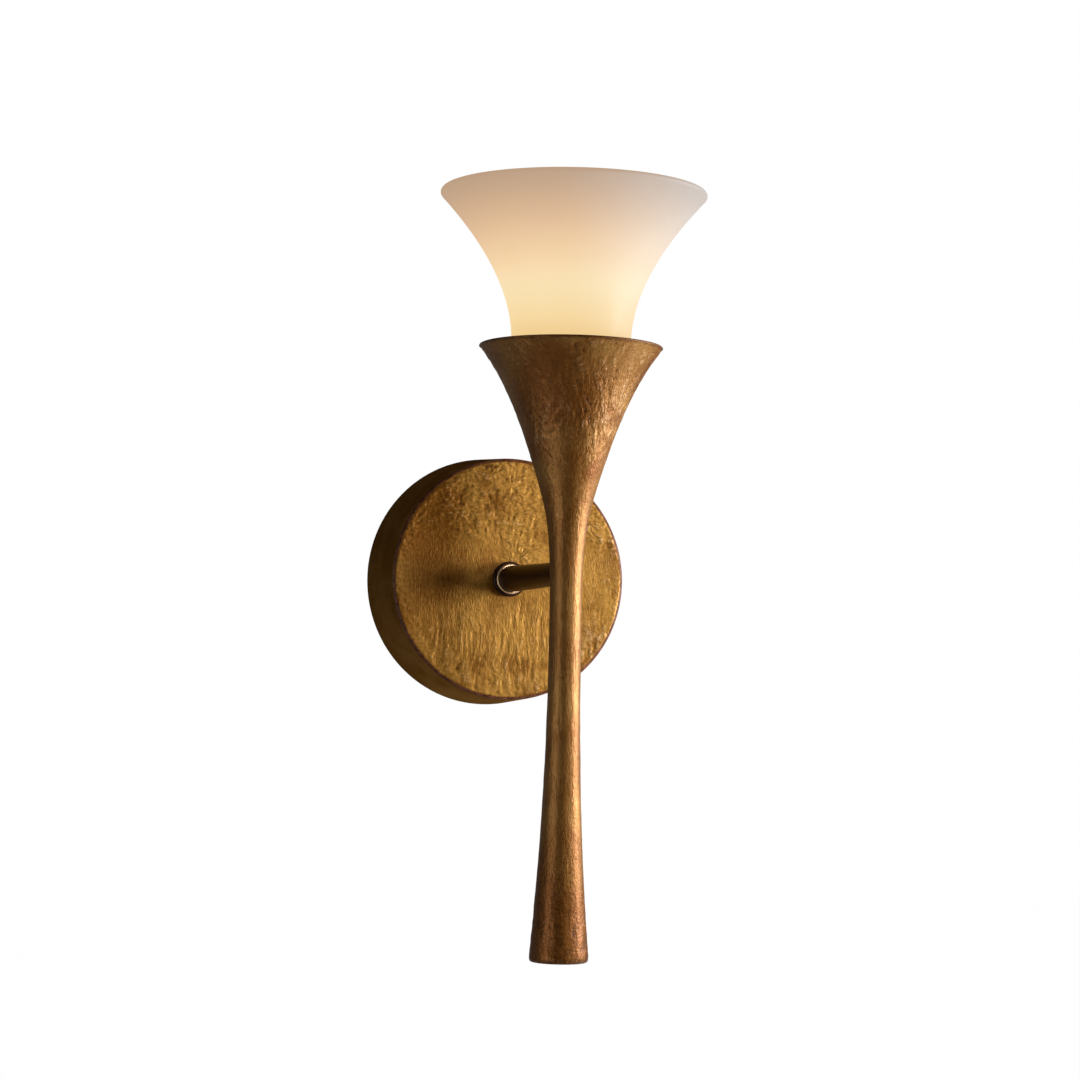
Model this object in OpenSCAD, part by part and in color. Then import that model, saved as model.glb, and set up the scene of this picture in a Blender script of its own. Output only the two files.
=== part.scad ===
// Torch sconce: a hand-finished bronze torch on a short arm, with an opal glass flare
// standing in its cup and a round canopy that hooks over a bar on the wall.
// Origin: centre of the canopy in the plane of the wall. +Z up, -Y out into the room.

/* [Canopy] */
// Diameter of the canopy where it meets the wall
plate_d = 127; // [110:1:160]
// Diameter of the canopy's front face
plate_front_d = 122; // [104:1:154]
// Depth of the canopy from the wall to its front face
plate_depth = 40; // [32:1:60]
// Wall thickness of the canopy
plate_wall = 1.8; // [1.2:0.1:3]
// Radius of the canopy's front edge
plate_edge = 2; // [1:0.25:4]

/* [Arm] */
// Distance from the wall to the torch's axis
reach = 128; // [100:1:180]
// Diameter of the arm at the canopy
arm_d = 13.4; // [12.8:0.1:18]
// Diameter of the arm at the torch
arm_tip_d = 11; // [10:0.1:14]
// Diameter of the collar at the foot of the arm
collar_d = 17.7; // [17:0.1:26]
// Height of the collar
collar_h = 2.2; // [1.5:0.1:5]

/* [Torch] */
// Height of the cup's rim above the arm
cup_rise = 108; // [96:1:140]
// Outside diameter of the cup's rim
cup_d = 88; // [74:1:110]
// Wall thickness of the cup
cup_wall = 2.4; // [1.8:0.1:3.2]
// Diameter of the throat, where the shaft opens into the cup
throat_d = 33.2; // [31:0.2:42]
// Height of the throat above the arm
throat_rise = 50; // [44:1:60]
// Diameter of the shaft at its waist
waist_d = 15.2; // [12.6:0.1:20]
// Depth of the foot below the arm
foot_drop = 183; // [140:1:230]
// Diameter of the foot
foot_d = 27.8; // [22:0.2:36]
// Wall thickness of the shaft at its waist
shaft_wall = 3; // [2.4:0.1:3.4]
// Diameter of the plug that closes the foot
plug_d = 18; // [14:0.5:18]

/* [Glass shade] */
// Height of the shade that shows above the cup
shade_show = 74; // [60:1:100]
// Diameter of the shade's rim
shade_d = 127.4; // [106:1:154]
// Diameter of the shade's straight neck
neck_d = 57; // [47:0.5:69]
// Thickness of the glass
glass = 3; // [2:0.25:4]

/* [Lampholder and bulb] */
// Diameter of the lampholder
socket_d = 26; // [24:0.5:28]
// Height of the lampholder's body
socket_h = 37; // [34:0.5:44]
// Diameter of the bulb
bulb_d = 35; // [24:0.5:38]
// Length of the bulb from its contact to its tip
bulb_len = 98; // [80:1:104]
// Diameter of the bulb's screw cap
bulb_cap_d = 11.9; // [11:0.1:12.2]

/* [Wall bar] */
// Width of the bar
bar_w = 18; // [15:0.5:24]
// Thickness of the bar
bar_t = 2; // [1.5:0.1:3]
// Distance between the centres of the two slots
slot_spacing = 79; // [70:0.5:86]
// Length of each slot, end to end
slot_len = 16; // [10:0.5:18]
// Width of each slot
slot_w = 4.8; // [4.2:0.1:5.6]

/* [Threads and wires] */
// Outside diameter of the canopy and lampholder nipples
nipple_d = 10.2; // [9.6:0.1:10.4]
// Bore of those nipples
nipple_bore = 7; // [6:0.1:7.4]
// Outside diameter of the nipple between arm and torch
stub_d = 8; // [7:0.1:8.4]
// Bore of that nipple
stub_bore = 5.6; // [5.2:0.1:6]
// Outside diameter of an insulated lead
lead_d = 2.1; // [1.6:0.1:2.2]

/* [Hidden] */
$fn = 96;
// Radial clearance in a threaded or press-in joint
fit = 0.05;
// Gap under a piece that only rests in place
rest_gap = 0.2;

plate_r = plate_d / 2;
plate_front_r = plate_front_d / 2;
face_y = -plate_depth;
inside_y = face_y + plate_wall;

// ---- Torch outline -------------------------------------------------------------------
curve_steps = 24;
foot_round = 1.4;
waist_low = -35;
waist_high = -20;

// Points of a cubic curve through p[0] and p[3], drawn towards p[1] and p[2]
function curve(p, n = curve_steps) = [for (i = [0:n]) let (t = i / n, s = 1 - t)
    s * s * s * p[0] + 3 * s * s * t * p[1] + 3 * s * t * t * p[2] + t * t * t * p[3]];
// All points but the first, for joining curves end to end
function rest_of(p) = [for (i = [1:len(p) - 1]) p[i]];
// Points of an arc about c, from angle a to angle b
function arc(c, r, a, b, n = 6) = [for (i = [0:n]) let (t = a + (b - a) * i / n)
    [c[0] + r * cos(t), c[1] + r * sin(t)]];
// Points [r, z] as rows [z, r], so that lookup() gives the radius at a height
function by_height(p) = [for (q = p) [q[1], q[0]]];

shaft_curve = curve([
    [foot_d / 2, -foot_drop + foot_round],
    [waist_d / 2 + 2.8, -foot_drop + 43],
    [waist_d / 2, waist_low - 60],
    [waist_d / 2, waist_low]]);
throat_curve = curve([
    [waist_d / 2, waist_high],
    [waist_d / 2, throat_rise - 30],
    [throat_d / 2 - 7.1, throat_rise - 22],
    [throat_d / 2, throat_rise]]);
cup_curve = curve([
    [throat_d / 2, throat_rise],
    [throat_d / 2 + 5.8, throat_rise + 18],
    [cup_d / 2 - 14.4, cup_rise - 18],
    [cup_d / 2, cup_rise]], 28);
torch_outline = concat(shaft_curve, throat_curve, rest_of(cup_curve));
torch_radius = by_height(torch_outline);

// Radius of the cup's inside at a height
function cup_inside(z) = lookup(z, torch_radius) - cup_wall;
// Height at which the cup's inside has a radius
function cup_height(r) = lookup(r + cup_wall, cup_curve);

// ---- Heights inside the cup ----------------------------------------------------------
neck_fit = 0.5;
gasket_t = 1.5;
seat_t = 1.5;
flange_h = 3;
neck_bottom = cup_height(neck_d / 2 + neck_fit);
gasket_top = neck_bottom - rest_gap;
seat_top = gasket_top - gasket_t;
seat_bottom = seat_top - seat_t;
seat_r = cup_inside(seat_bottom) - fit;
flange_top = seat_bottom;
socket_r = socket_d / 2;
socket_bottom = flange_top - 25;
socket_top = socket_bottom + socket_h;
socket_chamber = 5;
socket_web = 3;
thread_deep = 8;
chamber_bottom = socket_bottom + thread_deep;
web_bottom = chamber_bottom + socket_chamber;
web_top = web_bottom + socket_web;
washer_t = 1.2;
nut_h = 4;
floor_z = socket_bottom - 9;
bore_r = waist_d / 2 - shaft_wall;
tap_r = nipple_d / 2 + fit;
tap_deep = 12;
plug_h = 4;
plug_inset = 0.6;

// ---- Glass shade ---------------------------------------------------------------------
shade_rise = cup_rise + shade_show;
neck_r = neck_d / 2;
lip_r = glass / 2;
// The flare leaves the neck upright and meets the lip at this angle from the upright
flare_lean = 43;
flare_pull = 35.5;
flare_way = [sin(flare_lean), cos(flare_lean)];
flare_normal = [cos(flare_lean), -sin(flare_lean)];
lip_centre = [shade_d / 2 - lip_r, shade_rise - lip_r];

// One side of the flare, from the neck up to the lip; side is 1 outside and -1 inside
function flare(side) = let (
    r = neck_r - lip_r + side * lip_r,
    up = cup_rise + 2 + (1 - side) * glass / 6,
    end = lip_centre + side * lip_r * flare_normal)
    curve([[r, up], [r, up + 20], end - flare_pull * flare_way, end], 34);

// ---- Bulb ----------------------------------------------------------------------------
contact_h = 1.2;
bulb_gap = 0.1;
bulb_bottom = web_top + contact_h + bulb_gap;
bulb_top = bulb_bottom + bulb_len;
button_h = 1.6;
vitrite_h = 3.4;
cap_bottom = bulb_bottom + button_h + vitrite_h;
cap_h = 14.5;
cap_top = cap_bottom + cap_h;
cap_r = bulb_cap_d / 2;
cap_wall = 0.4;
cap_pitch = 2.54;
cap_ripple = 0.3;
shell_r = cap_r + 0.12;
shell_t = 0.5;
shell_bottom = web_top;
shell_h = 18;
bulb_wall = 0.8;

// ---- Arm and canopy hardware ----------------------------------------------------------
arm_r = arm_d / 2;
arm_tip_r = arm_tip_d / 2;
arm_thread = 12;
ferrule_r = arm_r + 0.6;
ferrule_h = 1.2;
stiffener_r = 24;
stiffener_t = 2;
lock_t = 1;
terminal_t = 0.8;
nut_af = 15;
lock_y = inside_y + stiffener_t;
terminal_y = lock_y + lock_t;
nut_y = terminal_y + terminal_t;
bushing_h = 3;
bushing_lip = 1;
nipple_end_y = nut_y + nut_h + 5;
bushing_end_y = nipple_end_y + bushing_lip;
stub_len = 16;

// ---- Wall bar -------------------------------------------------------------------------
ear_y = -8;
ear_len = 14;
screw_r = 2;
ear_gap = 0.4;
// Inside radius of the canopy at a distance in front of the wall
function canopy_room(depth) = plate_r - (plate_r - plate_front_r) * depth / plate_depth - plate_wall;
ear_z = sqrt(pow(canopy_room(ear_len), 2) - bar_w * bar_w / 4) - ear_gap;
ground_z = -22;
ground_head_r = 4.5;
ground_head_h = 3.2;

// ---- Leads ----------------------------------------------------------------------------
lead_r = lead_d / 2;
lead_x = lead_r + 0.25;
lead_bend = bore_r + 3.4;
lead_sides = 8;
nut_mouth = [30, -16, -18];
wire_nut_len = 21;
wire_nut_r = 5.5;
wire_nut_deep = 9;
lead_in = 5;

bronze = "#7a5426";
dark_bronze = "#33200f";

// ---- Helpers ---------------------------------------------------------------------------
// Children stand on the arm's axis, with their +Z towards the wall, from a depth y
module on_arm(y) {
    translate([0, y, 0]) rotate([-90, 0, 0]) children();
}

// Children stand on the torch's axis, from a height z
module on_torch(z = 0) {
    translate([0, -reach, z]) children();
}

// A plain ring or tube
module ring(r_out, r_in, h) {
    difference() {
        cylinder(r = r_out, h = h);
        translate([0, 0, -1]) cylinder(r = r_in, h = h + 2);
    }
}

// A hexagon nut of a size across flats, with a round bore and a chamfered crown
module hex_nut(af, r_in, h) {
    difference() {
        intersection() {
            cylinder(d = af / cos(30), h = h, $fn = 6);
            union() {
                cylinder(d = af / cos(30) + 1, h = h * 0.8);
                translate([0, 0, h * 0.8])
                    cylinder(d1 = af / cos(30) + 0.6, d2 = af * 0.96, h = h * 0.2);
            }
        }
        translate([0, 0, -1]) cylinder(r = r_in, h = h + 2);
    }
}

// A round tube swept along a list of points, as one closed skin
module sweep(path, r, sides = lead_sides) {
    n = len(path);
    function along(i) = let (v = path[min(i + 1, n - 1)] - path[max(i - 1, 0)]) v / norm(v);
    // The side direction is carried from ring to ring, so that the skin never twists
    function carry(s, t) = let (v = s - (s * t) * t) v / norm(v);
    function sides_of(i, s) = let (c = carry(s, along(i)))
        i == n - 1 ? [c] : concat([c], sides_of(i + 1, c));
    first = abs(along(0)[0]) < 0.9 ? [1, 0, 0] : [0, 1, 0];
    frames = sides_of(0, first);
    points = [for (i = [0:n - 1]) let (s = frames[i], u = cross(along(i), s))
        for (k = [0:sides - 1]) let (a = 360 * k / sides)
            path[i] + r * (cos(a) * s + sin(a) * u)];
    walls = [for (i = [0:n - 2]) for (k = [0:sides - 1]) let (
            a = i * sides + k,
            b = i * sides + (k + 1) % sides)
        each [[a, a + sides, b], [b, a + sides, b + sides]]];
    ends = [for (k = [1:sides - 2]) each [
        [0, k, k + 1],
        [(n - 1) * sides, (n - 1) * sides + k + 1, (n - 1) * sides + k]]];
    polyhedron(points = points, faces = concat(walls, ends));
}

// ---- Canopy ----------------------------------------------------------------------------
module backplate() {
    slope = (plate_r - plate_front_r) / plate_depth;
    side_r = plate_front_r + slope * plate_edge;
    inner_edge = max(plate_edge - plate_wall / 2, 0.5);
    color(bronze) difference() {
        on_arm(face_y) rotate_extrude() polygon(concat(
            [[tap_r + 0.1, 0]],
            arc([side_r - plate_edge, plate_edge], plate_edge, -90, 0),
            [[plate_r, plate_depth], [plate_r - plate_wall, plate_depth]],
            arc([side_r - plate_wall - inner_edge, plate_wall + inner_edge], inner_edge, 0, -90),
            [[tap_r + 0.1, plate_wall]]));
        // Holes at the top and the bottom for the side screws
        translate([0, ear_y, -plate_r - 1]) cylinder(r = screw_r + 0.2, h = plate_d + 2);
    }
}

module stiffener_plate() {
    // A thick disc behind the face spreads the arm's load; its three holes save weight
    color("silver") on_arm(inside_y) difference() {
        ring(stiffener_r, tap_r + 0.1, stiffener_t);
        for (a = [90, 210, 330]) rotate(a) translate([stiffener_r * 0.66, 0, -1])
            cylinder(r = 3.2, h = stiffener_t + 2);
    }
}

// ---- Wall bar --------------------------------------------------------------------------
module slot(len, width, h) {
    for (s = [-1, 1]) translate([s * (len - width) / 2, 0, 0]) cylinder(d = width, h = h);
    translate([-(len - width) / 2, -width / 2, 0]) cube([len - width, width, h]);
}

module wall_bar() {
    bend_r = bar_t + 1;
    // The strap seen from its side: [y, z], with both ears bent out towards the room
    half = concat(
        [[0, 0]],
        arc([-bend_r, ear_z - bend_r], bend_r, 0, 90, 8),
        [[-ear_len, ear_z], [-ear_len, ear_z - bar_t]],
        arc([-bend_r, ear_z - bend_r], bend_r - bar_t, 90, 0, 8),
        [[-bar_t, 0]]);
    color("silver") difference() {
        for (s = [0, 1]) mirror([0, 0, s]) translate([-bar_w / 2, 0, 0])
            rotate([90, 0, 90]) linear_extrude(height = bar_w) polygon(half);
        for (s = [-1, 1]) translate([0, 1, s * slot_spacing / 2])
            rotate([90, 90, 0]) slot(slot_len, slot_w, bar_t + 2);
        translate([0, ear_y, -ear_z - 1]) cylinder(r = screw_r + fit, h = ear_z * 2 + 2);
        translate([0, 1, ground_z]) rotate([90, 0, 0])
            cylinder(r = screw_r + fit, h = bar_t + 2);
    }
}

module side_screws() {
    outer = canopy_room(-ear_y) + plate_wall - 0.3;
    inner = ear_z - bar_t - 3;
    color("dimgray") for (s = [0, 1]) mirror([0, 0, s]) translate([0, ear_y, inner])
        difference() {
            union() {
                cylinder(r1 = screw_r * 0.5, r2 = screw_r, h = 1);
                translate([0, 0, 1]) cylinder(r = screw_r, h = outer - inner - 1);
            }
            translate([0, 0, outer - inner - 1.8]) cylinder(r = 1.15, h = 3, $fn = 6);
        }
}

module ground_screw() {
    color("#1f7a3a") translate([0, -bar_t, ground_z]) rotate([90, 0, 0]) difference() {
        union() {
            translate([0, 0, -bar_t + 0.2]) cylinder(r = screw_r, h = bar_t);
            cylinder(r = ground_head_r, h = 0.8);
            translate([0, 0, 0.8])
                cylinder(r = ground_head_r * 0.86, h = ground_head_h - 0.8, $fn = 6);
        }
        translate([-ground_head_r, -0.6, ground_head_h - 1.2])
            cube([2 * ground_head_r, 1.2, 2]);
    }
}

module ground_terminal() {
    tab = 12;
    color("tan") on_arm(terminal_y) {
        ring(nut_af / 2 + 1, tap_r, terminal_t);
        // The tab hangs down and is crimped round the end of the wire
        difference() {
            translate([-2.4, 0, 0]) cube([4.8, tab, terminal_t]);
            translate([0, 0, -1]) cylinder(r = nut_af / 2, h = terminal_t + 2);
        }
    }
}

module ground_wire() {
    y0 = terminal_y + terminal_t + lead_r;
    z_end = ground_z - ground_head_r - lead_r - 0.1;
    route = [
        [0, y0, -9.5], [0, y0, -13], [0, y0 + 0.6, -18], [0, y0 + 4, -25],
        [0, y0 + 11, -30.5], [0, -12, -32], [0, -7, -30.6], [0, -4.6, z_end - 0.6],
        [0.6, -bar_t - lead_r - 0.1, z_end]];
    color("#2f8f46") sweep(smooth(route, 5), lead_r);
}

// ---- Arm -------------------------------------------------------------------------------
module arm() {
    length = reach - plate_depth;
    color(dark_bronze) difference() {
        translate([0, -reach, 0]) rotate([-90, 0, 0])
            cylinder(r1 = arm_tip_r, r2 = arm_r, h = length);
        // The tip is coped to the shaft, so that it seats all round
        on_torch() rotate_extrude() polygon(concat(
            [[0, -foot_drop]],
            [for (q = torch_outline) if (abs(q[1]) < 3 * arm_r) [q[0] + fit, q[1]]],
            [[0, throat_rise]]));
        on_arm(-reach - 1) cylinder(r = stub_d / 2 + fit, h = length + 2);
        on_arm(face_y - arm_thread) cylinder(r = tap_r, h = arm_thread + 1);
    }
}

module arm_collar() {
    color(dark_bronze) on_arm(face_y) mirror([0, 0, 1]) rotate_extrude() polygon(concat(
        [[arm_r + fit, 0]],
        [[collar_d / 2, 0], [collar_d / 2, collar_h * 0.35]],
        arc([collar_d / 2 - 0.9, collar_h - 0.9], 0.9, 0, 90, 5),
        [[arm_r + fit, collar_h]]));
}

module arm_ferrule() {
    r = ferrule_h / 2;
    color("#c9a86a") on_arm(face_y - collar_h) mirror([0, 0, 1])
        rotate_extrude() polygon(concat(
            [[arm_r + fit, 0]],
            arc([ferrule_r - r / 2, r], r, -90, 90, 8),
            [[arm_r + fit, ferrule_h]]));
}

module arm_nipple() {
    start = face_y - arm_thread + 1;
    color("goldenrod") on_arm(start)
        ring(nipple_d / 2, nipple_bore / 2, nipple_end_y - start);
}

module arm_lock_washer() {
    // Internal ring with outside teeth, flat as it lies when tightened
    teeth = 12;
    color("gainsboro") on_arm(lock_y) {
        ring(nut_af / 2 - 1.2, tap_r, lock_t);
        for (i = [0:teeth - 1]) rotate(i * 360 / teeth)
            translate([nut_af / 2 - 1.6, -0.7, 0]) cube([1.9, 1.4, lock_t]);
    }
}

module arm_locknut() {
    color("goldenrod") on_arm(nut_y) hex_nut(nut_af, tap_r, nut_h);
}

module wire_bushing() {
    // A plastic ring pushed over the nipple, with a rounded lip to save the insulation
    r_out = nipple_d / 2 + 1.4;
    color("white") on_arm(bushing_end_y - bushing_h) rotate_extrude() polygon(concat(
        [[tap_r, 0], [r_out, 0]],
        arc([r_out - 0.8, bushing_h - 0.8], 0.8, 0, 90, 5),
        arc([nipple_bore / 2 + 0.4, bushing_h - 0.5], 0.5, 90, 180, 5),
        [[nipple_bore / 2 - 0.1, bushing_h - bushing_lip], [tap_r, bushing_h - bushing_lip]]));
}

module torch_nipple() {
    from = -reach + bore_r + 0.3;
    color("goldenrod") on_arm(from) ring(stub_d / 2, stub_bore / 2, stub_len);
}

// ---- Torch -----------------------------------------------------------------------------
module torch_body() {
    rim_round = 0.7;
    cup_rows = [for (q = cup_curve) if (q[1] > floor_z + 3 && q[1] < cup_rise - 1) q];
    inside = concat(
        [[tap_r, floor_z]],
        arc([cup_inside(floor_z + 2) - 2, floor_z + 2], 2, -90, 0),
        [for (q = cup_rows) [q[0] - cup_wall, q[1]]]);
    outside = concat(
        arc([foot_d / 2 - foot_round, -foot_drop + foot_round], foot_round, -90, 0),
        rest_of(shaft_curve), throat_curve,
        [for (q = rest_of(cup_curve)) if (q[1] < cup_rise - rim_round) q]);
    rim = concat(
        arc([cup_d / 2 - rim_round - 0.1, cup_rise - rim_round], rim_round, 0, 90, 5),
        arc([cup_d / 2 - cup_wall + rim_round - 0.3, cup_rise - rim_round], rim_round, 90, 180, 5));
    plug_floor = -foot_drop + plug_h + plug_inset + 2;
    color(bronze) on_torch() difference() {
        rotate_extrude() polygon(concat(
            [[plug_d / 2, -foot_drop]],
            outside, rim,
            [for (i = [len(inside) - 1:-1:0]) inside[i]],
            [[tap_r, floor_z - tap_deep], [bore_r, floor_z - tap_deep],
             [bore_r, plug_floor], [plug_d / 2, plug_floor]]));
        // Tapped hole for the arm's nipple, through the wall that faces the canopy
        rotate([-90, 0, 0]) cylinder(r = stub_d / 2 + fit, h = waist_d);
    }
}

module foot_plug() {
    color("#3a2a1a") on_torch(-foot_drop + plug_inset) difference() {
        union() {
            cylinder(r1 = plug_d / 2 - 0.6, r2 = plug_d / 2 - fit, h = 0.6);
            translate([0, 0, 0.6]) cylinder(r = plug_d / 2 - fit, h = plug_h - 0.6);
        }
        translate([0, 0, 1.4]) cylinder(r = plug_d / 2 - 2.4, h = plug_h);
    }
}

// ---- Leads -----------------------------------------------------------------------------
// A smooth run through every point of a route, in n steps from each to the next
function smooth(p, n) = let (m = len(p) - 1) concat(
    [for (i = [0:m - 1]) let (a = p[max(i - 1, 0)], b = p[i], c = p[i + 1], d = p[min(i + 2, m)])
        for (k = [0:n - 1]) let (t = k / n)
            0.5 * (2 * b + (c - a) * t + (2 * a - 5 * b + 4 * c - d) * t * t
                + (3 * b - a - 3 * c + d) * t * t * t)],
    [p[m]]);

// From the lampholder down the shaft, round into the arm, and out into the canopy
function lead_path(s) = let (x = s * lead_x, m = nut_mouth) concat(
    [for (z = [web_bottom - 0.1, web_bottom - 10, floor_z - 10, lead_bend + 3]) [x, -reach, z]],
    [for (a = [0:15:90])
        [x, -reach + lead_bend * (1 - cos(a)), lead_bend * (1 - sin(a))]],
    [for (y = [-reach + lead_bend + 8, face_y - 12, bushing_end_y - 2]) [x, y, 0]],
    smooth([
        [x, bushing_end_y + 1, 0], [s * 2.2, bushing_end_y + 6, -0.2],
        [s * 7, -11.5, -0.8], [s * 14, -9, -1.8], [s * 22, -10, -4.2],
        [s * 27.6, -13, -9], [s * m[0], m[1], -15], [s * m[0], m[1], m[2] - lead_in]], 3));

module hot_lead() {
    color("#1c1c1c") sweep(lead_path(1), lead_r);
}

module neutral_lead() {
    color("whitesmoke") sweep(lead_path(-1), lead_r);
}

module wire_nuts() {
    ribs = 10;
    color("darkorange") for (s = [-1, 1])
        translate([s * nut_mouth[0], nut_mouth[1], nut_mouth[2]]) mirror([0, 0, 1])
            difference() {
                union() {
                    cylinder(r = wire_nut_r, h = 5);
                    translate([0, 0, 5])
                        cylinder(r1 = wire_nut_r - 0.5, r2 = 3.2, h = wire_nut_len - 6);
                    translate([0, 0, wire_nut_len - 1]) cylinder(r1 = 3.2, r2 = 2.4, h = 1);
                    for (i = [0:ribs - 1]) rotate(i * 360 / ribs)
                        translate([3, -0.45, 5]) cube([wire_nut_r - 3.3, 0.9, 8]);
                }
                translate([0, 0, -1]) cylinder(r = lead_r + 0.25, h = wire_nut_deep + 1);
                translate([0, 0, -0.01]) cylinder(r1 = lead_r + 1.6, r2 = lead_r + 0.25, h = 2);
            }
}

// ---- Lampholder ------------------------------------------------------------------------
module socket_nipple() {
    from = floor_z - tap_deep + 1;
    color("goldenrod") on_torch(from)
        ring(nipple_d / 2, nipple_bore / 2, socket_bottom + thread_deep - 0.5 - from);
}

module socket_washer() {
    color("gainsboro") on_torch(floor_z) ring(nut_af / 2 + 0.6, tap_r, washer_t);
}

module socket_locknut() {
    color("goldenrod") on_torch(floor_z + washer_t) hex_nut(nut_af, tap_r, nut_h);
}

module socket_body() {
    flange_r = socket_r + 3;
    base_r = socket_r - 1.5;
    color("#181818") on_torch() difference() {
        rotate_extrude() polygon([
            [0, socket_bottom], [base_r - 1, socket_bottom], [base_r, socket_bottom + 1],
            [base_r, flange_top - flange_h], [flange_r, flange_top - flange_h],
            [flange_r, flange_top], [socket_r, flange_top], [socket_r, socket_top - 1],
            [socket_r - 1, socket_top], [0, socket_top]]);
        translate([0, 0, web_top])
            cylinder(r = shell_r + shell_t + fit, h = socket_top - web_top + 1);
        translate([0, 0, chamber_bottom]) cylinder(r = 7, h = socket_chamber);
        translate([0, 0, socket_bottom - 1]) cylinder(r = tap_r, h = thread_deep + 2);
        // Hole for the centre contact's rivet
        translate([0, 0, web_bottom - 1]) cylinder(r = 1.5 + fit, h = socket_web + 2);
    }
}

module socket_screw_shell() {
    color("gold") on_torch(shell_bottom) difference() {
        cylinder(r = shell_r + shell_t, h = shell_h);
        translate([0, 0, -1]) cylinder(r = shell_r, h = shell_h + 2);
    }
}

module socket_contact() {
    // A sprung tongue, riveted through the web
    color("gold") on_torch() {
        translate([0, 0, web_bottom + 0.4]) cylinder(r = 1.5, h = socket_web);
        translate([0, 0, web_top]) cylinder(r = 3.4, h = 0.5);
        translate([0, 0, web_top + 0.5]) cylinder(r1 = 2.6, r2 = 1.8, h = contact_h - 0.5);
    }
}

module socket_ring() {
    grips = 24;
    h = 4;
    r_out = socket_r + 3.6;
    color("#202020") on_torch(seat_top) difference() {
        ring(r_out, socket_r + fit, h);
        for (i = [0:grips - 1]) rotate(i * 360 / grips)
            translate([r_out + 0.3, 0, 0.8]) cylinder(r = 0.8, h = h, $fn = 16);
    }
}

// ---- Shade seat and glass ----------------------------------------------------------------
module shade_seat() {
    vents = 6;
    vent_at = (seat_r + socket_r + 3) / 2;
    color("silver") on_torch(seat_bottom) difference() {
        ring(seat_r, socket_r + fit, seat_t);
        for (i = [0:vents - 1]) rotate((i + 0.5) * 360 / vents) translate([vent_at, 0, -1])
            cylinder(r = 2.2, h = seat_t + 2);
    }
}

module seat_gasket() {
    color("#d8d4c8") on_torch(seat_top)
        ring(min(neck_r + 0.2, cup_inside(seat_top) - fit), neck_r - glass - 0.6, gasket_t);
}

module glass_shade() {
    foot = glass / 3;
    inside = flare(-1);
    color("ivory") on_torch() rotate_extrude() polygon(concat(
        arc([neck_r - glass + foot, neck_bottom + foot], foot, 180, 270, 4),
        arc([neck_r - foot, neck_bottom + foot], foot, 270, 360, 4),
        flare(1),
        rest_of(arc(lip_centre, lip_r, -flare_lean, 180 - flare_lean, 9)),
        [for (i = [len(inside) - 2:-1:0]) inside[i]]));
}

// ---- Bulb --------------------------------------------------------------------------------
module bulb_contact() {
    color("silver") on_torch(bulb_bottom) {
        cylinder(r1 = 1.6, r2 = 2.3, h = 0.6);
        translate([0, 0, 0.6]) cylinder(r = 2.3, h = button_h - 0.6 - fit);
    }
}

module bulb_insulator() {
    color("#151515") on_torch(bulb_bottom + button_h)
        cylinder(r1 = 2.6, r2 = cap_r - cap_ripple - cap_wall, h = vitrite_h);
}

module bulb_cap() {
    // Rolled thread: the skin's radius rises and falls once for each pitch
    steps = 40;
    r_mean = cap_r - cap_ripple / 2;
    skin = [for (i = [0:steps]) let (z = cap_h * i / steps)
        [r_mean + cap_ripple / 2 * cos(360 * z / cap_pitch) - (i == 0 ? 0.2 : 0), z]];
    r_in = cap_r - cap_ripple - cap_wall;
    color("goldenrod") on_torch(cap_bottom) rotate_extrude()
        polygon(concat([[r_in, 0]], skin, [[r_in, cap_h]]));
}

module bulb_glass() {
    neck = cap_r - cap_ripple - cap_wall - fit;
    widest = cap_top + 0.36 * (bulb_top - cap_top);
    belly = concat(
        [[neck, cap_top - 3], [neck, cap_top]],
        rest_of(curve([[neck, cap_top], [neck + 0.4, cap_top + 9],
            [bulb_d / 2, widest - 15], [bulb_d / 2, widest]], 14)),
        rest_of(curve([[bulb_d / 2, widest], [bulb_d / 2, widest + 22],
            [6.5, bulb_top - 16], [2.6, bulb_top - 2]], 18)));
    inner = [for (i = [len(belly) - 1:-1:0]) belly[i] - [bulb_wall, 0]];
    color("#f6efdd") on_torch() rotate_extrude() polygon(concat(
        belly,
        rest_of(curve([[2.6, bulb_top - 2], [2.2, bulb_top - 0.7], [1.2, bulb_top],
            [0, bulb_top]], 6)),
        [[0, bulb_top - bulb_wall * 2]],
        inner));
}

backplate();
stiffener_plate();
wall_bar();
side_screws();
ground_screw();
ground_wire();
ground_terminal();
arm();
arm_collar();
arm_ferrule();
arm_nipple();
arm_lock_washer();
arm_locknut();
wire_bushing();
torch_nipple();
torch_body();
foot_plug();
hot_lead();
neutral_lead();
wire_nuts();
socket_nipple();
socket_washer();
socket_locknut();
socket_body();
socket_screw_shell();
socket_contact();
socket_ring();
shade_seat();
seat_gasket();
glass_shade();
bulb_contact();
bulb_insulator();
bulb_cap();
bulb_glass();
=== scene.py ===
# %% [markdown]
# # A torch sconce in antique bronze and opal glass
#
# The real object is a wall light. A round canopy covers the outlet box, a short arm stands
# out of it, and a slender cast torch hangs on the arm's end. A flare of white opal glass
# stands in the torch's cup, round one small bulb.
#
# The frame that is loaded here already holds every piece at its real size and place. This
# notebook dresses it. Most pieces are right in shape and only get a finish. Four are turned
# again on a finer lathe: the casting and the canopy, with the trowelled coat as real relief,
# the glass, and the bulb's threaded cap.

# %% Load the frame
import math

import bpy
import numpy as np
from mathutils import Matrix, Vector, noise


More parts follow.
